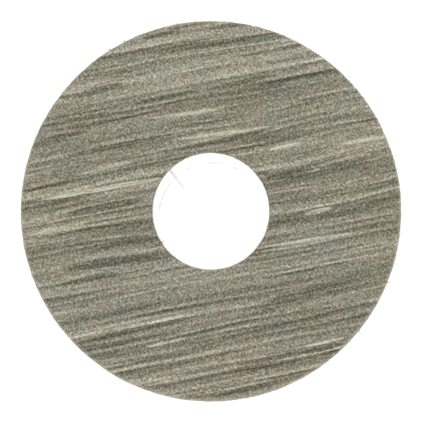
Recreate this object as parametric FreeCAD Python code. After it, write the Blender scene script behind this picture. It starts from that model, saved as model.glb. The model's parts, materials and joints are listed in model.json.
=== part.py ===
"""Ring-shaped felt polishing disc, adhesive-backed, lying on its release liner. Millimetres.

From the top down it is one ply of dense felt, a double-coated tape (adhesive, film, adhesive)
and a silicone-coated paper liner. The bore goes through the felt and the tape. The liner runs on
under the bore, where a second, off-centre die has cut a round plug that small paper nicks still
hold, and a straight slit that crosses the cut gives a fingernail its start when peeling.

Frame: +Z up along the bore, origin at the centre of the underside, which rests on a surface.
"""
import FreeCAD
import Part
import math
import os

# Driving dimensions
disc_diameter = 101.6
bore_diameter = 31.4
felt_thickness = 3.2
felt_edge_round = 0.4
adhesive_thickness = 0.1
film_thickness = 0.05
liner_thickness = 0.15

# The cuts in the liner
plug_cut_diameter = 28.8
plug_cut_offset = FreeCAD.Vector(0.4, -1.4, 0)
cut_width = 0.25
nick_count = 28
nick_width = 1.0
slit_width = 0.25
slit_length = 12.0
slit_inner_end = FreeCAD.Vector(-6.4, 5.1, 0)
slit_angle_deg = 127.7

# Worked out from the above
disc_radius = disc_diameter / 2
bore_radius = bore_diameter / 2
plug_cut_radius = plug_cut_diameter / 2
UP = FreeCAD.Vector(0, 0, 1)


def flat_ring(outer_radius, inner_radius, bottom, thickness):
    """A square-edged ring about the Z axis."""
    at = FreeCAD.Vector(0, 0, bottom)
    outside = Part.makeCylinder(outer_radius, thickness, at)
    return outside.cut(Part.makeCylinder(inner_radius, thickness, at))


def corner_arc(centre_x, centre_z, radius, start_deg):
    """A quarter circle in the XZ plane, running anticlockwise from start_deg."""
    def point(angle_deg):
        angle = math.radians(angle_deg)
        return FreeCAD.Vector(
            centre_x + radius * math.cos(angle), 0, centre_z + radius * math.sin(angle)
        )
    return Part.Arc(point(start_deg), point(start_deg + 45), point(start_deg + 90)).toShape()


def felt_ring(bottom):
    """The felt: a ring whose two upper edges are rolled over by the cutting die."""
    top = bottom + felt_thickness
    shoulder = top - felt_edge_round
    outer_arc = corner_arc(disc_radius - felt_edge_round, shoulder, felt_edge_round, 0)
    inner_arc = corner_arc(bore_radius + felt_edge_round, shoulder, felt_edge_round, 90)
    inner_low = FreeCAD.Vector(bore_radius, 0, bottom)
    outer_low = FreeCAD.Vector(disc_radius, 0, bottom)
    inner_shoulder = FreeCAD.Vector(bore_radius, 0, shoulder)
    outer_shoulder = FreeCAD.Vector(disc_radius, 0, shoulder)
    inner_top = FreeCAD.Vector(bore_radius + felt_edge_round, 0, top)
    outer_top = FreeCAD.Vector(disc_radius - felt_edge_round, 0, top)
    outline = Part.Wire([
        Part.makeLine(inner_low, outer_low),
        Part.makeLine(outer_low, outer_shoulder),
        outer_arc,
        Part.makeLine(outer_top, inner_top),
        inner_arc,
        Part.makeLine(inner_shoulder, inner_low),
    ])
    return Part.Face(outline).revolve(FreeCAD.Vector(0, 0, 0), UP, 360)


def slit_cutter():
    """A thin blade of material along the slit, from inside the plug outwards under the felt."""
    blade = Part.makeBox(
        slit_length, slit_width, liner_thickness, FreeCAD.Vector(0, -slit_width / 2, 0)
    )
    blade.rotate(FreeCAD.Vector(0, 0, 0), UP, slit_angle_deg)
    blade.translate(slit_inner_end)
    return blade


def liner_ring(slit):
    """The liner around the plug."""
    sheet = Part.makeCylinder(disc_radius, liner_thickness)
    hole = Part.makeCylinder(plug_cut_radius + cut_width / 2, liner_thickness, plug_cut_offset)
    return sheet.cut(hole).cut(slit)


def liner_plug(slit):
    """The round waste of the liner, with the nicks that bridge the cut around it."""
    plug = Part.makeCylinder(plug_cut_radius - cut_width / 2, liner_thickness, plug_cut_offset)
    reach = Part.makeCylinder(plug_cut_radius + cut_width / 2, liner_thickness, plug_cut_offset)
    nicks = []
    for index in range(nick_count):
        nick = Part.makeBox(
            plug_cut_radius, nick_width, liner_thickness, FreeCAD.Vector(0, -nick_width / 2, 0)
        )
        nick.translate(FreeCAD.Vector(cut_width, 0, 0))
        nick.rotate(FreeCAD.Vector(0, 0, 0), UP, 360 * (index + 0.5) / nick_count)
        nick.translate(plug_cut_offset)
        nicks.append(nick.common(reach))
    return plug.multiFuse(nicks).removeSplitter().cut(slit)


def build():
    """Every node's shape by name, stacked from the surface up."""
    tape_bottom = liner_thickness
    film_bottom = tape_bottom + adhesive_thickness
    upper_adhesive_bottom = film_bottom + film_thickness
    felt_bottom = upper_adhesive_bottom + adhesive_thickness
    slit = slit_cutter()
    return {
        "felt_disc": felt_ring(felt_bottom),
        "felt_side_adhesive": flat_ring(
            disc_radius, bore_radius, upper_adhesive_bottom, adhesive_thickness
        ),
        "carrier_film": flat_ring(disc_radius, bore_radius, film_bottom, film_thickness),
        "liner_side_adhesive": flat_ring(
            disc_radius, bore_radius, tape_bottom, adhesive_thickness
        ),
        "release_liner": liner_ring(slit),
        "liner_centre_plug": liner_plug(slit),
    }


os.makedirs("parts", exist_ok=True)
for name, shape in build().items():
    shape.exportStep(f"parts/{name}.step")
    print(name, "valid", shape.isValid(), "solids", len(shape.Solids), "mm3", round(shape.Volume, 2))
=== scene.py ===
import bpy
import json
import math
import random
import numpy as np
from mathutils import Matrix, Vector


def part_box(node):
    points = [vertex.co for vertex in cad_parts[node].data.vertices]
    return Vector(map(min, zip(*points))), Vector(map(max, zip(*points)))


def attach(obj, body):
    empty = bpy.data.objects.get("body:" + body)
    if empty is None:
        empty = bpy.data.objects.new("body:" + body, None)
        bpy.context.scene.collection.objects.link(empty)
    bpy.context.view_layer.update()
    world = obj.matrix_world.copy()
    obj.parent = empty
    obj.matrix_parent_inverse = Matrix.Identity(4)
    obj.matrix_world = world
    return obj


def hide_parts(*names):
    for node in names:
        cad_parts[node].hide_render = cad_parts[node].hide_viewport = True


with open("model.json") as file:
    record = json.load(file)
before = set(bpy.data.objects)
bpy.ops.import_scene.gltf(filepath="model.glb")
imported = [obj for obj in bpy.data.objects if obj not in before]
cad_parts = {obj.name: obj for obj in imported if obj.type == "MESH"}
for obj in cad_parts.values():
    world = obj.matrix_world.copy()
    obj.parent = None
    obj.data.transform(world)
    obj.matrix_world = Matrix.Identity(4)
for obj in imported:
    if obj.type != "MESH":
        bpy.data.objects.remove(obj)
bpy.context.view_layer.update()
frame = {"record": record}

# ---------------------------------------------------------------- sizes, in millimetres
MM = 0.001
felt_low, felt_high = (np.array(corner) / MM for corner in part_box("felt_disc"))
liner_low, liner_high = (np.array(corner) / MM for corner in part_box("release_liner"))
RIM = float(felt_high[0])
BORE = next(m["dims"]["r_mm"] for m in frame["record"]["mounts"] if m["name"] == "bore")
FELT_BOTTOM = float(felt_low[2])
FELT_TOP = float(felt_high[2])
EDGE_ROUND = 0.4
GRAIN_ANGLE = math.radians(11)
LINER_TOP = float(liner_high[2])
# The plug's middle and the radius of its cut, and the nicks that bridge the cut.
PLUG_X, PLUG_Y, PLUG_R = 0.4, -1.4, 14.4
NICKS = 28
NICK_WIDTH = 1.0
# Slit paper closes up again, so the cut shows much narrower than the blade that made it.
KERF = 0.08
# The slit's middle, length and direction.
SLIT_X, SLIT_Y, SLIT_LENGTH, SLIT_ANGLE = -10.07, 9.85, 12.0, math.radians(127.7)
# Numbers of loose fibres on the face, round the rim and round the bore.
FACE_FIBRES, RIM_FIBRES, BORE_FIBRES = 3300, 2400, 450
# How far the bore's wall stands back from the nominal bore.
BORE_SET_BACK = 0.06

# The felt's plainest streaks, listed one by one; noise makes all the others:
# middle x, middle y, length, width, angle in degrees, and tone, paler above 0 and darker below.
STREAKS = (
    (-29, 6, 34, 1.3, 10, 0.27),
    (-28, 11.5, 16, 0.9, 13, 0.15),
    (-39.5, 20, 15, 1.2, 11, -0.17),
    (-25.5, 17.5, 30, 1.2, 12, -0.18),
    (-43, 7, 15, 0.8, 13, -0.18),
    (-29, 1, 24, 2.2, 12, -0.18),
    (-41, -5, 17, 0.9, 11, 0.15),
    (-26, -13.5, 27, 2.4, 9, -0.17),
    (-32.5, -18, 17, 1.4, 12, -0.15),
    (-12, -35, 11, 0.8, 14, 0.19),
    (-12, -39, 26, 1.2, 11, -0.13),
    (-30, 32.5, 14, 2.1, 15, -0.14),
    (-12, 30.5, 18, 1.1, 12, -0.16),
    (-14, 47, 10, 1.0, 12, -0.16),
    (-7, 26, 20, 0.8, 8, 0.19),
    (3, 21, 27, 0.9, 8, 0.20),
    (3, 19, 27, 1.3, 13, -0.16),
    (8, 34.5, 18, 1.3, 13, -0.14),
    (20, 17.5, 10, 1.0, 12, 0.21),
    (20.5, 10, 15, 1.9, 12, -0.18),
    (36, 13, 19, 1.1, 11, -0.14),
    (41, 19, 14, 1.0, 9, 0.20),
    (28.5, 0, 8, 1.3, 14, 0.24),
    (26.5, -7.5, 25, 0.9, 9, 0.19),
    (26.5, -21.5, 26, 1.7, 13, -0.19),
    (30, -35, 12, 0.8, 12, 0.18),
    (30, -36.5, 12, 1.6, 12, -0.15),
    (17.5, -39, 24, 1.6, 12, -0.13),
    (10, -47.5, 20, 1.2, 12, -0.16),
)
# Cooler grey patches beside the bore: middle x, middle y, radius.
COOL_PATCHES = ((-16.5, -4.5, 3.5), (-12.5, -14.5, 4.0), (-16.5, 6, 3.0), (17, -2.5, 3.0))
# Tufts that stand out of an edge: its radius, degrees round it, the fibres' direction in degrees
# and their number.
TUFTS = (
    (RIM, 117, 112, 6),
    (RIM, 122, 138, 7),
    (RIM, 135, 150, 3),
    (RIM, -39, -70, 4),
    (RIM, -22, -15, 4),
    (BORE, 212, 35, 6),
)
# Dyed fibres that stray in at the edge of the bore: degrees round it, radius of the patch.
RED_FIBRES = ((210, 0.6), (192, 0.55), (-41, 0.6), (6, 0.4))

# The width of the picture where the felt's edge is, and the point in its middle.
VIEW_WIDTH = 113.06
AIM_X, AIM_Y = 0.155, -0.06

# The floor is lit this much beyond white, so a felt colour as it shows needs a darker reflectance.
FLOOR_REFLECTANCE = 0.90
STAGE_LEVEL = 1.55
# The felt's tones, darkest first, as sRGB. Its ramp runs over brightness from TONE_LOW by TONE_SPAN.
FELT_TONES = (
    (62, 60, 44), (82, 80, 62), (106, 103, 86), (125, 122, 106), (144, 139, 122),
    (162, 156, 139), (181, 177, 159), (203, 201, 184), (220, 219, 203),
)
TONE_LOW = 0.2
TONE_SPAN = 0.7


def linear(value):
    """An sRGB value from 0 to 255 as linear light."""
    value /= 255
    return value / 12.92 if value <= 0.04045 else ((value + 0.055) / 1.055) ** 2.4


def felt_colour(red, green, blue):
    """Reflectance that shows as this sRGB colour under the stage's light."""
    scale = FLOOR_REFLECTANCE / STAGE_LEVEL
    return (linear(red) * scale, linear(green) * scale, linear(blue) * scale, 1)


# ---------------------------------------------------------------- noise for geometry
def lattice(ix, iy, seed):
    """A repeatable value from -1 to 1 for each whole-number point."""
    n = (ix * 374761393 + iy * 668265263 + seed * 974634777) & 0x7FFFFFFF
    n = ((n ^ (n >> 13)) * 1274126177) & 0x7FFFFFFF
    return ((n ^ (n >> 16)) & 0xFFFF) / 32767.5 - 1


def noise2(x, y, seed):
    """Smooth value noise over the plane, with a cell of 1."""
    ix = np.floor(x).astype(np.int64)
    iy = np.floor(y).astype(np.int64)
    fx = x - ix
    fy = y - iy
    fx = fx * fx * (3 - 2 * fx)
    fy = fy * fy * (3 - 2 * fy)
    low = lattice(ix, iy, seed) * (1 - fx) + lattice(ix + 1, iy, seed) * fx
    high = lattice(ix, iy + 1, seed) * (1 - fx) + lattice(ix + 1, iy + 1, seed) * fx
    return low * (1 - fy) + high * fy


def streak_relief(x, y):
    """Height in millimetres of the listed streaks: pale ones stand up, dark ones are grooves."""
    height = np.zeros_like(x)
    for mid_x, mid_y, length, width, angle, tone in STREAKS:
        turn = math.radians(angle)
        along = (x - mid_x) * math.cos(turn) + (y - mid_y) * math.sin(turn)
        across = (y - mid_y) * math.cos(turn) - (x - mid_x) * math.sin(turn)
        reach = np.hypot(along / (length / 2), across / (width / 2 + 0.25))
        height += 0.3 * tone * np.clip(1 - reach, 0, None)
    return height


def felt_relief(x, y):
    """Height in millimetres of the felt's face against its nominal plane."""
    along = x * math.cos(GRAIN_ANGLE) + y * math.sin(GRAIN_ANGLE)
    across = y * math.cos(GRAIN_ANGLE) - x * math.sin(GRAIN_ANGLE)
    return (
        streak_relief(x, y)
        + 0.035 * noise2(along / 14, across / 1.1, 3)
        + 0.025 * noise2(along / 6, across / 0.6, 5)
        + 0.030 * noise2(x / 6.0, y / 6.0, 7)
        - 0.04
    )


def edge_wander(arc, z, seed):
    """How far in millimetres a die-cut felt wall strays at this arc length and height."""
    return (
        0.045 * noise2(arc / 7.0, z / 6.0, seed)
        + 0.035 * noise2(arc / 1.9, z / 1.2, seed + 1)
        + 0.030 * noise2(arc / 0.8, z / 0.35, seed + 2)
    )


# ---------------------------------------------------------------- meshes
def new_piece(name, points_mm, faces, smooth=True):
    mesh = bpy.data.meshes.new(name)
    mesh.from_pydata([tuple(p) for p in np.asarray(points_mm) * MM], [], faces)
    mesh.validate()
    mesh.update()
    if smooth:
        mesh.shade_smooth()
    piece = bpy.data.objects.new(name, mesh)
    bpy.context.scene.collection.objects.link(piece)
    return piece


def ring_faces(rings, count):
    """Quads that join closed rings of count points each, with the last ring joined to the first."""
    faces = []
    for i in range(rings):
        a = i * count
        b = ((i + 1) % rings) * count
        for j in range(count):
            k = (j + 1) % count
            faces.append((a + j, b + j, b + k, a + k))
    return faces


def make_felt():
    """The felt ring: rounded upper edges, die-cut walls that wander, and relief along the streaks."""
    count = 640
    top = FELT_TOP - EDGE_ROUND
    profile = [(BORE, z) for z in np.linspace(FELT_BOTTOM, top, 9)[:-1]]
    for turn in np.linspace(0, math.pi / 2, 6):
        profile.append((BORE + EDGE_ROUND * (1 - math.cos(turn)), top + EDGE_ROUND * math.sin(turn)))
    for radius in np.linspace(BORE + EDGE_ROUND, RIM - EDGE_ROUND, 111)[1:-1]:
        profile.append((radius, FELT_TOP))
    for turn in np.linspace(math.pi / 2, 0, 6):
        profile.append((RIM - EDGE_ROUND * (1 - math.cos(turn)), top + EDGE_ROUND * math.sin(turn)))
    profile += [(RIM, z) for z in np.linspace(top, FELT_BOTTOM, 9)[1:]]
    profile += [(radius, FELT_BOTTOM) for radius in np.linspace(RIM, BORE, 10)[1:-1]]
    profile = np.array(profile)
    angle = np.arange(count) * 2 * math.pi / count
    radius = np.repeat(profile[:, :1], count, axis=1)
    z = np.repeat(profile[:, 1:], count, axis=1)
    turn = np.repeat(angle[None, :], len(profile), axis=0)

    # Walls: the rim bulges a little halfway up, the bore stands back, and the tape holds both at the foot.
    height = (z - FELT_BOTTOM) / (FELT_TOP - FELT_BOTTOM)
    foot = np.clip(height / 0.12, 0, 1)
    outer = np.clip((radius - (RIM - 1.2)) / 1.2, 0, 1)
    inner = np.clip((BORE + 1.2 - radius) / 1.2, 0, 1)
    belly = 0.05 * np.sin(np.clip(height, 0, 1) * math.pi)
    radius = radius + outer * foot * (edge_wander(RIM * turn, z, 11) + belly)
    radius = radius - inner * foot * (0.7 * edge_wander(BORE * turn, z, 31) - BORE_SET_BACK)
    x = radius * np.cos(turn)
    y = radius * np.sin(turn)
    face = np.clip((z - (FELT_TOP - EDGE_ROUND)) / EDGE_ROUND, 0, 1)
    z = z + face * felt_relief(x, y)
    points = np.stack([x, y, z], axis=-1).reshape(-1, 3)
    return new_piece("felt_ring", points, ring_faces(len(profile), count))


def add_fibre(points, faces, path, thickness):
    """A closed three-sided tube along a short path, slimmer at its far end."""
    start = len(points)
    for i, here in enumerate(path):
        ahead = path[min(i + 1, len(path) - 1)] - path[max(i - 1, 0)]
        ahead.normalize()
        side = ahead.cross(Vector((0.13, 0.31, 0.94)))
        side.normalize()
        up = side.cross(ahead)
        slim = thickness * (1 - 0.6 * i / (len(path) - 1)) / 2
        for k in range(3):
            turn = k * 2 * math.pi / 3
            points.append(here + slim * (math.cos(turn) * side + math.sin(turn) * up))
    for i in range(len(path) - 1):
        for k in range(3):
            a = start + 3 * i + k
            b = start + 3 * i + (k + 1) % 3
            faces.append((a, a + 3, b + 3, b))
    last = start + 3 * (len(path) - 1)
    faces.append((start, start + 1, start + 2))
    faces.append((last + 2, last + 1, last))


def make_fibres():
    """Loose fibres: mostly along the streaks on the face, round both cut edges, and in a few tufts."""
    rng = random.Random(41)
    points = []
    faces = []
    top = FELT_TOP - 0.03

    def wisp(x, y, z, heading, climb, length, bend, thickness, lift):
        """A curved fibre that starts a little inside the felt. With lift it rises and comes down again."""
        path = []
        here = Vector((x, y, z))
        steps = 5
        for i in range(steps + 1):
            path.append(here.copy())
            now = heading + bend * (i / steps - 0.5)
            rise = climb * math.cos(math.pi * i / steps) if lift else climb
            here = here + Vector((math.cos(now), math.sin(now), rise)) * (length / steps)
        add_fibre(points, faces, path, thickness)

    for _ in range(FACE_FIBRES):
        radius = math.sqrt(rng.uniform((BORE + 1.2) ** 2, (RIM - 1.4) ** 2))
        turn = rng.uniform(0, 2 * math.pi)
        heading = GRAIN_ANGLE + rng.gauss(0, 0.55) + rng.choice((0, math.pi))
        wisp(radius * math.cos(turn), radius * math.sin(turn), top, heading, rng.uniform(0.05, 0.22),
             rng.uniform(0.7, 2.4), rng.uniform(-1.6, 1.6), rng.uniform(0.03, 0.07), True)
    for radius, sign, amount, reach in ((RIM, 1, RIM_FIBRES, 1.2), (BORE, -1, BORE_FIBRES, 0.9)):
        for _ in range(amount):
            turn = rng.uniform(0, 2 * math.pi)
            z = rng.uniform(FELT_BOTTOM + 0.15, FELT_TOP - 0.15)
            inset = max(0, z - (FELT_TOP - EDGE_ROUND))
            start = radius - sign * (0.12 + 0.6 * inset)
            outward = turn + (0 if sign > 0 else math.pi)
            heading = outward + rng.choice((-1, 1)) * rng.uniform(0.6, 1.45)
            wisp(start * math.cos(turn), start * math.sin(turn), z, heading, rng.uniform(-0.5, 0.5),
                 rng.uniform(0.4, reach), rng.uniform(-1.2, 1.2), rng.uniform(0.03, 0.07), False)
    for radius, place, direction, amount in TUFTS:
        x = radius * math.cos(math.radians(place))
        y = radius * math.sin(math.radians(place))
        for _ in range(amount):
            heading = math.radians(direction) + rng.uniform(-0.5, 0.5)
            wisp(x + rng.uniform(-0.15, 0.15), y + rng.uniform(-0.15, 0.15),
                 FELT_TOP - rng.uniform(0.3, 0.9), heading, rng.uniform(-0.1, 0.3),
                 rng.uniform(0.6, 1.3), rng.uniform(-1.5, 1.5), rng.uniform(0.05, 0.09), False)
    return new_piece("felt_loose_fibres", [tuple(p) for p in points], faces)


# ---------------------------------------------------------------- node helpers
class Shader:
    """Short calls for building one material's nodes."""

    def __init__(self, name):
        self.material = bpy.data.materials.new(name)
        self.material.use_nodes = True
        self.tree = self.material.node_tree
        self.bsdf = self.tree.nodes["Principled BSDF"]

    def node(self, kind, **settings):
        node = self.tree.nodes.new(kind)
        for key, value in settings.items():
            setattr(node, key, value)
        return node

    def put(self, socket, value):
        if isinstance(value, bpy.types.NodeSocket):
            self.tree.links.new(value, socket)
        else:
            socket.default_value = value

    def math(self, operation, *values, clamp=False):
        node = self.node("ShaderNodeMath", operation=operation, use_clamp=clamp)
        for socket, value in zip(node.inputs, values):
            self.put(socket, value)
        return node.outputs[0]

    def vector(self, operation, *values):
        node = self.node("ShaderNodeVectorMath", operation=operation)
        for socket, value in zip(node.inputs, values):
            self.put(socket, value)
        return node.outputs[0]

    def length(self, vector):
        node = self.node("ShaderNodeVectorMath", operation="LENGTH")
        self.put(node.inputs[0], vector)
        return node.outputs["Value"]

    def place(self, vector, location=(0, 0, 0), angle=0.0, scale=(1, 1, 1)):
        """The vector in a frame moved to location, turned by angle and stretched by scale."""
        node = self.node("ShaderNodeMapping", vector_type="TEXTURE")
        self.put(node.inputs["Vector"], vector)
        node.inputs["Location"].default_value = location
        node.inputs["Rotation"].default_value = (0, 0, angle)
        node.inputs["Scale"].default_value = scale
        return node.outputs[0]

    def noise(self, vector, detail=1.0, rough=0.5, scale=1.0):
        """Noise on a slice that is oblique to its lattice, so that no rows or columns show."""
        tilt = self.node("ShaderNodeMapping", vector_type="POINT")
        self.put(tilt.inputs["Vector"], vector)
        tilt.inputs["Location"].default_value = (0.31, 0.17, 0.43)
        tilt.inputs["Rotation"].default_value = (0.61, 0.47, 0.83)
        node = self.node("ShaderNodeTexNoise")
        self.put(node.inputs["Vector"], tilt.outputs[0])
        node.inputs["Scale"].default_value = scale
        node.inputs["Detail"].default_value = detail
        node.inputs["Roughness"].default_value = rough
        return node.outputs["Fac"]

    def spot(self, vector, x, y, half_length, half_width, angle=0.0):
        """1 at the middle of an ellipse, falling to 0 at its edge."""
        placed = self.place(vector, (x, y, 0), angle, (half_length, half_width, 1))
        node = self.node("ShaderNodeTexGradient", gradient_type="SPHERICAL")
        self.put(node.inputs["Vector"], placed)
        return node.outputs["Fac"]

    def ramp(self, factor, stops, interpolation="LINEAR"):
        node = self.node("ShaderNodeValToRGB")
        node.color_ramp.interpolation = interpolation
        elements = node.color_ramp.elements
        while len(elements) > 1:
            elements.remove(elements[-1])
        elements[0].position, elements[0].color = stops[0]
        for position, colour in stops[1:]:
            element = elements.new(position)
            element.color = colour
        self.put(node.inputs["Fac"], factor)
        return node.outputs["Color"]

    def mix(self, factor, a, b, blend="MIX"):
        node = self.node("ShaderNodeMix", data_type="RGBA", blend_type=blend, clamp_factor=True)
        self.put(node.inputs[0], factor)
        self.put(node.inputs[6], a)
        self.put(node.inputs[7], b)
        return node.outputs[2]

    def step(self, value, low, high):
        """0 below low and 1 above high, smooth between."""
        node = self.node("ShaderNodeMapRange", interpolation_type="SMOOTHSTEP")
        self.put(node.inputs["Value"], value)
        node.inputs["From Min"].default_value = low
        node.inputs["From Max"].default_value = high
        return node.outputs["Result"]

    def millimetres(self):
        """The object's own coordinates in millimetres."""
        coordinates = self.node("ShaderNodeTexCoord").outputs["Object"]
        node = self.node("ShaderNodeVectorMath", operation="SCALE")
        self.put(node.inputs[0], coordinates)
        node.inputs["Scale"].default_value = 1 / MM
        return node.outputs[0]

    def split(self, vector):
        node = self.node("ShaderNodeSeparateXYZ")
        self.put(node.inputs[0], vector)
        return node.outputs

    def join(self, x, y, z):
        node = self.node("ShaderNodeCombineXYZ")
        for socket, value in zip(node.inputs, (x, y, z)):
            self.put(socket, value)
        return node.outputs[0]

    def bump(self, height, distance, strength=1.0, normal=None):
        node = self.node("ShaderNodeBump")
        node.inputs["Strength"].default_value = strength
        node.inputs["Distance"].default_value = distance
        self.put(node.inputs["Height"], height)
        if normal is not None:
            self.put(node.inputs["Normal"], normal)
        return node.outputs[0]

    def finish(self, colour, roughness, normal=None, **constants):
        self.put(self.bsdf.inputs["Base Color"], colour)
        self.put(self.bsdf.inputs["Roughness"], roughness)
        if normal is not None:
            self.put(self.bsdf.inputs["Normal"], normal)
        for name, value in constants.items():
            self.bsdf.inputs[name.replace("_", " ")].default_value = value
        return self.material


def centred(shader, factor, weight):
    """A noise factor about 0, times its weight."""
    return shader.math("MULTIPLY", shader.math("SUBTRACT", factor, 0.5), weight)


def tone_ramp(shader, brightness, stops):
    """The felt's colour at this brightness."""
    return shader.ramp(shader.math("MULTIPLY_ADD", brightness, 1 / TONE_SPAN, -TONE_LOW / TONE_SPAN), stops)


def felt_tone(shader, flat):
    """How bright the felt's face shows over x and y in millimetres, and the grain on top of that."""
    wander = shader.noise(shader.place(flat, angle=GRAIN_ANGLE, scale=(34, 12, 1)), 0.0)
    shift = shader.math("MULTIPLY", shader.math("SUBTRACT", wander, 0.5), 2.2)
    warped = shader.vector("ADD", flat, shader.join(0.0, shift, 0.0))

    def layer(length, width, detail, seed, lower=0.0, turn=0.0):
        angle = GRAIN_ANGLE + turn
        placed = shader.place(warped, (seed, 2 * seed - lower, 0), angle, (length, width, 1))
        return shader.noise(placed, detail, 0.55)

    total = centred(shader, layer(120, 4.4, 0.0, 3.1), 0.20)
    total = shader.math("ADD", total, centred(shader, layer(90, 2.1, 1.0, 17.7, turn=-0.02), 0.22))
    total = shader.math("ADD", total, centred(shader, layer(22, 1.0, 1.0, -29.3, turn=0.03), 0.18))

    # Thin lines: a furrow darkened with painted shade, and a painted highlight on the edge above it, where
    # it would catch the light.
    lines = ((41.3, 36, 1.2, 0.085), (-63.9, 64, 1.7, 0.085), (87.1, 26, 0.9, 0.07))
    for seed, length, width, depth in lines:
        shaded_groove = shader.step(layer(length, width, 0.0, seed), 0.60, 0.70)
        lip = shader.step(layer(length, width, 0.0, seed, -0.55 * width), 0.61, 0.71)
        lip = shader.math("MULTIPLY", lip, shader.math("SUBTRACT", 1.0, shaded_groove))
        total = shader.math("MULTIPLY_ADD", shaded_groove, -depth, total)
        total = shader.math("MULTIPLY_ADD", lip, 0.75 * depth, total)

    # The listed streaks, each dark one with a painted highlight on the lip above it. The noise calms under
    # them.
    marks = 0.0
    cover = 0.0
    slight = shader.vector("ADD", flat, shader.join(0.0, shader.math("MULTIPLY", shift, 0.25), 0.0))
    for x, y, length, width, angle, tone in STREAKS:
        spot = shader.spot(slight, x, y, 0.58 * length, width / 2 + 0.12, math.radians(angle))
        spot = shader.step(spot, 0.02, 0.34)
        marks = shader.math("MULTIPLY_ADD", spot, tone, marks)
        cover = shader.math("ADD", spot, cover)
        if tone < 0:
            # A painted highlight on the lip above the dark streak.
            lip_x = x - math.sin(math.radians(angle)) * width
            lip_y = y + math.cos(math.radians(angle)) * width
            lip = shader.spot(slight, lip_x, lip_y, 0.45 * length, 0.55, math.radians(angle))
            marks = shader.math("MULTIPLY_ADD", shader.step(lip, 0.03, 0.5), -0.45 * tone, marks)
    ragged = shader.math("MULTIPLY_ADD", layer(13, 0.42, 1.0, 11.9), 2.2, -0.1)
    ragged = shader.math("MAXIMUM", ragged, 0.5)
    marks = shader.math("MULTIPLY", shader.math("MULTIPLY", marks, ragged), 0.88)
    cover = shader.math("MINIMUM", cover, 1.0)
    calm = shader.math("SUBTRACT", 1.0, shader.math("MULTIPLY", cover, 0.7))
    total = shader.math("ADD", shader.math("MULTIPLY_ADD", total, calm, 0.533), marks)

    # Grain: single fibres, quieter where a pale streak lies over them.
    grain = shader.noise(shader.vector("ADD", flat, shader.join(4.7, 9.1, 0.0)), 1.0, 0.6, 2.0)
    pale = shader.math("MULTIPLY", marks, 5.0, clamp=True)
    quiet = shader.math("MULTIPLY_ADD", pale, -0.45, 1.0)
    grain = shader.math("MULTIPLY", centred(shader, grain, 0.76), quiet)
    return total, grain


def stray_red(shader, flat, z, colour):
    """The colour with the dyed fibres at the upper edge of the bore in it."""
    high = shader.math("MULTIPLY", shader.step(z, FELT_TOP - 0.9, FELT_TOP - 0.4), 0.75)
    for place, radius in RED_FIBRES:
        x = (BORE + 0.1) * math.cos(math.radians(place))
        y = (BORE + 0.1) * math.sin(math.radians(place))
        near = shader.step(shader.spot(flat, x, y, radius, radius), 0.05, 0.45)
        colour = shader.mix(shader.math("MULTIPLY", near, high), colour, felt_colour(128, 68, 58))
    return colour


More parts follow.
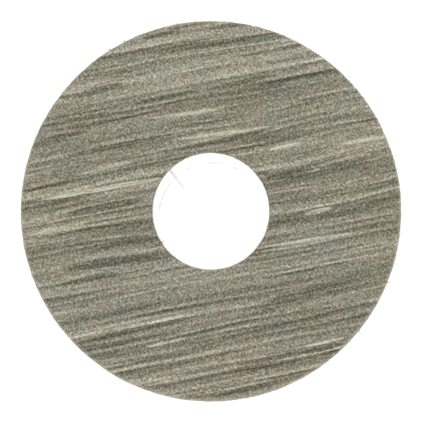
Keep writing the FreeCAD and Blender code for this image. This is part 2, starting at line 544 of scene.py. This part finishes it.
def felt_material():
    shader = Shader("felt")
    position = shader.millimetres()
    x, y, z = shader.split(position)
    flat = shader.join(x, y, 0.0)
    tone, grain = felt_tone(shader, flat)
    shown = shader.math("ADD", tone, grain)

    stops = []
    for red, green, blue in FELT_TONES:
        level = (0.299 * red + 0.587 * green + 0.114 * blue) / 255
        stops.append(((level - TONE_LOW) / TONE_SPAN, felt_colour(red, green, blue)))
    face = tone_ramp(shader, shown, stops)

    # Warm and cool fibres mixed in the blend, less so in the pale streaks.
    blend = shader.noise(flat, 1.0, 0.5, 0.95)
    strands = shader.noise(shader.place(flat, angle=GRAIN_ANGLE, scale=(7, 1.1, 1)), 1.0)
    blend = shader.math("MULTIPLY_ADD", strands, 0.4, shader.math("MULTIPLY", blend, 0.6))
    tint = shader.ramp(blend, [(0.32, (0.885, 1.0, 1.01, 1)), (0.68, (1.115, 1.0, 0.98, 1))])
    clean = shader.math("MULTIPLY_ADD", shader.step(tone, 0.58, 0.70), -0.6, 1.0)
    face = shader.mix(clean, face, tint, "MULTIPLY")

    # A slow change of cast over the whole face, and the cooler patches.
    cast = shader.noise(flat, 1.0, 0.5, 0.07)
    cast = shader.ramp(cast, [(0.35, (0.985, 1.0, 1.01, 1)), (0.65, (1.015, 1.0, 0.99, 1))])
    face = shader.mix(1.0, face, cast, "MULTIPLY")
    for spot_x, spot_y, radius in COOL_PATCHES:
        cool = shader.math("MULTIPLY", shader.spot(flat, spot_x, spot_y, radius, radius), 0.9)
        face = shader.mix(cool, face, shader.mix(1.0, face, (0.95, 0.98, 1.055, 1), "MULTIPLY"))

    # Specks of plant matter that stay in wool felt, the plainest one at a place of its own.
    specks = shader.node("ShaderNodeTexVoronoi", feature="F1")
    shader.put(specks.inputs["Vector"], flat)
    specks.inputs["Scale"].default_value = 0.16
    near = shader.math("SUBTRACT", 1.0, shader.step(specks.outputs["Distance"], 0.015, 0.035))
    plainest = shader.math("MULTIPLY", shader.spot(flat, 41.5, 11.5, 0.8, 0.6), 1.5, clamp=True)
    brown = shader.math("MAXIMUM", shader.math("MULTIPLY", near, 0.45), plainest)
    face = shader.mix(brown, face, felt_colour(100, 78, 58))

    # Painted highlight round the rim, most at its lower side, where the light falls; the pile there is
    # warmer too.
    out = shader.length(shader.vector("SUBTRACT", flat, (0, 0.14, 0)))
    rim_highlight = shader.math("MULTIPLY", shader.step(out, RIM - 0.8, RIM), 0.40)
    face = shader.mix(rim_highlight, face, felt_colour(196, 186, 160))
    warm = shader.spot(flat, 6, -40, 60, 32)
    face = shader.mix(warm, face, shader.mix(1.0, face, (1.03, 0.995, 1.01, 1), "MULTIPLY"))

    # Cut walls: fibre ends packed in layers, a little creamier than the face.
    layers = shader.noise(shader.vector("MULTIPLY", position, (0.9, 0.9, 3.4)), 2.0, 0.65)
    ends = shader.noise(position, 1.0, 0.6, 4.5)
    wall_tone = shader.math("ADD", shader.math("ADD", 0.54, centred(shader, layers, 0.75)),
                            centred(shader, ends, 0.50))
    wall = tone_ramp(shader, wall_tone, stops)
    wall = shader.mix(1.0, wall, (1.04, 1.0, 0.93, 1), "MULTIPLY")
    on_face = shader.step(z, FELT_TOP - 0.40, FELT_TOP - 0.12)
    colour = stray_red(shader, flat, z, shader.mix(on_face, wall, face))

    # Relief: the streaks, the grain and single fibres.
    thread_a = shader.noise(shader.place(position, angle=GRAIN_ANGLE, scale=(0.9, 0.11, 0.25)), 1.0)
    thread_b = shader.noise(shader.place(position, angle=1.1, scale=(0.5, 0.09, 0.25)), 1.0)
    thread_c = shader.noise(shader.place(position, angle=-0.8, scale=(0.5, 0.09, 0.25)), 1.0)
    threads = shader.math("MAXIMUM", thread_a, shader.math("MAXIMUM", thread_b, thread_c))
    normal = shader.bump(tone, 0.16 * MM, 0.5)
    normal = shader.bump(grain, 0.09 * MM, 0.5, normal)
    normal = shader.bump(threads, 0.04 * MM, 0.7, normal)
    return shader.finish(colour, 0.92, normal, Sheen_Weight=0.18, Sheen_Roughness=0.6,
                         Specular_IOR_Level=0.15)


def fibre_material():
    shader = Shader("felt_fibre")
    position = shader.millimetres()
    pick = shader.noise(position, 0.0, 0.5, 0.9)
    colour = shader.ramp(pick, [
        (0.32, felt_colour(98, 97, 82)),
        (0.50, felt_colour(142, 138, 122)),
        (0.66, felt_colour(176, 172, 156)),
    ])
    x, y, z = shader.split(position)
    colour = stray_red(shader, shader.join(x, y, 0.0), z, colour)
    normal = shader.bump(shader.noise(position, 1.0, 0.5, 22.0), 0.005 * MM, 0.5)
    return shader.finish(colour, 0.85, normal, Sheen_Weight=0.15, Specular_IOR_Level=0.2)


def adhesive_material():
    shader = Shader("adhesive")
    position = shader.millimetres()
    cloud = shader.noise(position, 2.0, 0.55, 0.35)
    colour = shader.ramp(cloud, [(0.3, (0.62, 0.55, 0.37, 1)), (0.7, (0.74, 0.68, 0.50, 1))])
    strings = shader.noise(shader.place(position, angle=0.4, scale=(3.0, 0.5, 1)), 2.0)
    normal = shader.bump(strings, 0.02 * MM, 0.5)
    roughness = shader.math("MULTIPLY_ADD", cloud, 0.25, 0.16)
    return shader.finish(colour, roughness, normal, IOR=1.47)


def film_material():
    shader = Shader("carrier_film")
    position = shader.millimetres()
    haze = shader.noise(position, 2.0, 0.5, 0.6)
    colour = shader.ramp(haze, [(0.3, (0.66, 0.69, 0.69, 1)), (0.7, (0.76, 0.79, 0.79, 1))])
    scratches = shader.noise(shader.place(position, angle=0.9, scale=(9.0, 0.12, 1)), 1.0)
    normal = shader.bump(scratches, 0.004 * MM, 0.4)
    return shader.finish(colour, shader.math("MULTIPLY_ADD", haze, 0.12, 0.08), normal, IOR=1.57)


def paper_material():
    shader = Shader("liner_paper")
    position = shader.millimetres()
    cloud = shader.noise(position, 3.0, 0.6, 0.22)
    pulp = shader.noise(position, 2.0, 0.6, 2.2)
    tone = shader.math("ADD", centred(shader, cloud, 0.5), centred(shader, pulp, 0.5))
    tone = shader.math("ADD", tone, 0.5)
    colour = shader.ramp(tone, [(0.25, (0.79, 0.79, 0.78, 1)), (0.75, (0.85, 0.85, 0.842, 1))])

    # Painted shade in broken dashes where the blade went through, deepest on the upper side of the plug's
    # cut, and painted shade along the slit, deepest on the plug's side.
    x, y, _ = shader.split(position)
    flat = shader.join(x, y, 0.0)
    from_middle = shader.length(shader.vector("SUBTRACT", flat, (PLUG_X, PLUG_Y, 0)))
    away = shader.math("ABSOLUTE", shader.math("SUBTRACT", from_middle, PLUG_R))
    cut_shade = shader.math("SUBTRACT", 1.0, shader.step(away, 0.10, 0.55))
    broken = shader.step(shader.noise(flat, 0.0, 0.5, 0.55), 0.32, 0.50)
    shade_depth = shader.step(shader.spot(flat, -3, 9, 24, 24), 0.22, 0.45)
    shade_depth = shader.math("MULTIPLY_ADD", shade_depth, 0.42, 0.12)
    cut_shade = shader.math("MULTIPLY", shader.math("MULTIPLY", cut_shade, broken), shade_depth)
    along, across, _ = shader.split(shader.place(flat, (SLIT_X, SLIT_Y, 0), SLIT_ANGLE))
    beside = shader.step(shader.math("ABSOLUTE", across), 0.12, 0.55)
    beyond = shader.step(shader.math("ABSOLUTE", shader.math("ADD", along, 1.8)), 2.0, 5.0)
    beside = shader.math("SUBTRACT", 1.0, beside)
    beyond = shader.math("SUBTRACT", 1.0, beyond)
    # Painted shade along the slit.
    slit = shader.math("MULTIPLY", shader.math("MULTIPLY", beside, beyond), 0.68)
    painted_cut_shade = shader.math("MAXIMUM", cut_shade, slit)
    colour = shader.mix(painted_cut_shade, colour, (0.28, 0.28, 0.275, 1))
    fibres = shader.noise(shader.place(position, angle=0.5, scale=(1.4, 0.16, 1)), 2.0)
    normal = shader.bump(fibres, 0.010 * MM, 0.5)
    normal = shader.bump(cloud, 0.15 * MM, 0.4, normal)
    roughness = shader.math("MULTIPLY_ADD", pulp, 0.16, 0.36)
    return shader.finish(colour, roughness, normal, Specular_IOR_Level=0.4)


def paper_wave(x, y):
    """Height in millimetres of the liner's soft unevenness, nearly all of it below its nominal top."""
    return -0.012 + 0.012 * noise2(x / 9, y / 9, 51) + 0.006 * noise2(x / 3, y / 3, 53)


def lift_at_cuts(x, y):
    """How far in millimetres the paper stands up beside the plug's cut and the slit, inside the bore."""
    from_cut = np.abs(np.hypot(x - PLUG_X, y - PLUG_Y) - PLUG_R)
    along = (x - SLIT_X) * math.cos(SLIT_ANGLE) + (y - SLIT_Y) * math.sin(SLIT_ANGLE)
    across = (y - SLIT_Y) * math.cos(SLIT_ANGLE) - (x - SLIT_X) * math.sin(SLIT_ANGLE)
    middle = np.clip(1 - (along / (SLIT_LENGTH / 2)) ** 2, 0, 1)
    lip = np.where(across > 0, 0.10, 0.03) * middle * np.exp(-np.abs(across) / 0.9)
    bare = np.clip((BORE - 0.6 - np.hypot(x, y)) / 1.0, 0, 1)
    return bare * (0.03 * np.exp(-from_cut / 0.35) + lip)


def paper_sheet(name, rings, centre=None):
    """A paper piece between two faces, from rings of (x, y) points that run outwards."""
    count = rings.shape[1]
    x = rings[:, :, 0]
    y = rings[:, :, 1]
    lift = paper_wave(x, y) + lift_at_cuts(x, y)
    low = np.stack([x, y, np.clip(lift, 0, None)], axis=-1)
    high = np.stack([x, y, LINER_TOP + lift], axis=-1)
    points = np.concatenate([high, low[::-1]]).reshape(-1, 3)
    faces = ring_faces(2 * len(rings), count)
    if centre is not None:
        # No hole: the wall of the first ring gives way to a fan of faces above and below.
        last = len(points) - count
        middle = len(points)
        points = np.concatenate([points, [(*centre, LINER_TOP), (*centre, 0)]])
        faces = faces[:-count]
        for j in range(count):
            k = (j + 1) % count
            faces.append((middle, j, k))
            faces.append((middle + 1, last + k, last + j))
    return new_piece(name, points, faces, smooth=False)


def cut_slit(piece):
    """The short peeling slit, open at its middle and almost closed at each end."""
    half = SLIT_LENGTH / 2
    outline = [(-half, -0.015), (0, -0.07), (half, -0.015)]
    outline += [(along, -across) for along, across in reversed(outline)]
    points = []
    for z in (-1.0, 1.5):
        for along, across in outline:
            points.append((SLIT_X + along * math.cos(SLIT_ANGLE) - across * math.sin(SLIT_ANGLE),
                           SLIT_Y + along * math.sin(SLIT_ANGLE) + across * math.cos(SLIT_ANGLE), z))
    n = len(outline)
    faces = [tuple(reversed(range(n))), tuple(range(n, 2 * n))]
    faces += [(i, (i + 1) % n, n + (i + 1) % n, n + i) for i in range(n)]
    blade = new_piece("blade", points, faces, smooth=False)
    cut = piece.modifiers.new("slit", "BOOLEAN")
    cut.operation = "DIFFERENCE"
    cut.solver = "EXACT"
    cut.object = blade
    graph = bpy.context.evaluated_depsgraph_get()
    result = bpy.data.meshes.new_from_object(piece.evaluated_get(graph))
    piece.modifiers.clear()
    piece.data = result
    bpy.data.objects.remove(blade)


def round_plug():
    """The plug's middle, and the angle and direction of each point round it, a whole number per nick."""
    count = 24 * NICKS
    turn = np.arange(count) * 2 * math.pi / count
    way = np.stack([np.cos(turn), np.sin(turn)], axis=-1)
    return np.array((PLUG_X, PLUG_Y)), turn, way


def make_liner():
    centre, _, way = round_plug()
    start = centre + (PLUG_R + KERF / 2) * way
    steps = np.concatenate([[0, 0.006, 0.015, 0.03], np.linspace(0.05, 0.985, 44), [1]])
    rings = np.stack([(1 - s) * start + s * RIM * way for s in steps])
    piece = paper_sheet("liner_sheet", rings)
    cut_slit(piece)
    return piece


def make_plug():
    centre, turn, way = round_plug()
    radii = np.concatenate([np.linspace(0.4, PLUG_R - 0.9, 36), [PLUG_R - 0.5, PLUG_R - 0.2]])
    rings = [centre + radius * way for radius in radii]
    pitch = 2 * math.pi / NICKS
    from_nick = np.abs((turn + pitch / 2) % pitch - pitch / 2) * PLUG_R
    edge = np.where(from_nick < NICK_WIDTH / 2, PLUG_R + KERF / 2, PLUG_R - KERF / 2)
    rings.append(centre + edge[:, None] * way)
    piece = paper_sheet("plug_sheet", np.stack(rings), centre)
    cut_slit(piece)
    return piece


def dress(node, material):
    """Give a carried-over CAD node its material."""
    piece = bpy.data.objects[node]
    if piece.material_slots:
        for place in piece.material_slots:
            place.material = material
    else:
        piece.data.materials.append(material)


# ---------------------------------------------------------------- stage, lights, camera
def make_stage():
    points = []
    half = 3.0 / MM
    for i in range(5):
        for j in range(5):
            points.append((half * (i / 2 - 1), half * (j / 2 - 1), 0))
    faces = []
    for i in range(4):
        for j in range(4):
            a = 5 * i + j
            faces.append((a, a + 5, a + 6, a + 1))
    floor = new_piece("floor", points, faces)
    shader = Shader("floor")
    coordinates = shader.node("ShaderNodeTexCoord").outputs["Object"]
    cloud = shader.noise(coordinates, 2.0, 0.5, 6.0)
    colour = shader.ramp(cloud, [(0.3, (0.895, 0.895, 0.895, 1)), (0.7, (0.905, 0.905, 0.905, 1))])
    floor.data.materials.append(shader.finish(colour, 0.9, Specular_IOR_Level=0.1))


def area_light(name, location, target, size, power):
    data = bpy.data.lights.new(name, "AREA")
    data.shape = "DISK"
    data.size = size
    data.energy = power
    light = bpy.data.objects.new(name, data)
    light.location = location
    light.rotation_euler = (Vector(target) - Vector(location)).to_track_quat("-Z", "Y").to_euler()
    light.visible_camera = False
    bpy.context.scene.collection.objects.link(light)


def make_light():
    world = bpy.data.worlds.new("studio")
    bpy.context.scene.world = world
    world.use_nodes = True
    background = world.node_tree.nodes["Background"]
    background.inputs["Color"].default_value = (1, 1, 1, 1)
    background.inputs["Strength"].default_value = 1.12
    area_light("overhead", (0.0, 0.0, 0.95), (0, 0, 0), 0.36, 4.8)
    area_light("key", (-0.45, 0.55, 0.90), (0, 0, 0), 0.6, 2.0)


def make_camera():
    """Straight above the disc, with VIEW_WIDTH across the picture at the height of the felt's edge."""
    data = bpy.data.cameras.new("camera")
    data.sensor_width = 36
    data.lens = 150
    distance = VIEW_WIDTH * data.lens / data.sensor_width
    camera = bpy.data.objects.new("camera", data)
    camera.location = Vector((AIM_X, AIM_Y, FELT_TOP - EDGE_ROUND + distance)) * MM
    data.clip_start = 0.01
    data.clip_end = 20
    bpy.context.scene.collection.objects.link(camera)
    bpy.context.scene.camera = camera
    bpy.context.scene.view_settings.view_transform = "Standard"


make_camera()
make_light()
make_stage()

felt = make_felt()
felt.data.materials.append(felt_material())
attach(felt, "disc")
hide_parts("felt_disc")

fibres = make_fibres()
fibres.data.materials.append(fibre_material())
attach(fibres, "disc")

adhesive = adhesive_material()
dress("felt_side_adhesive", adhesive)
dress("liner_side_adhesive", adhesive)
dress("carrier_film", film_material())

paper = paper_material()
for piece, node in ((make_liner(), "release_liner"), (make_plug(), "liner_centre_plug")):
    piece.data.materials.append(paper)
    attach(piece, "liner")
    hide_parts(node)
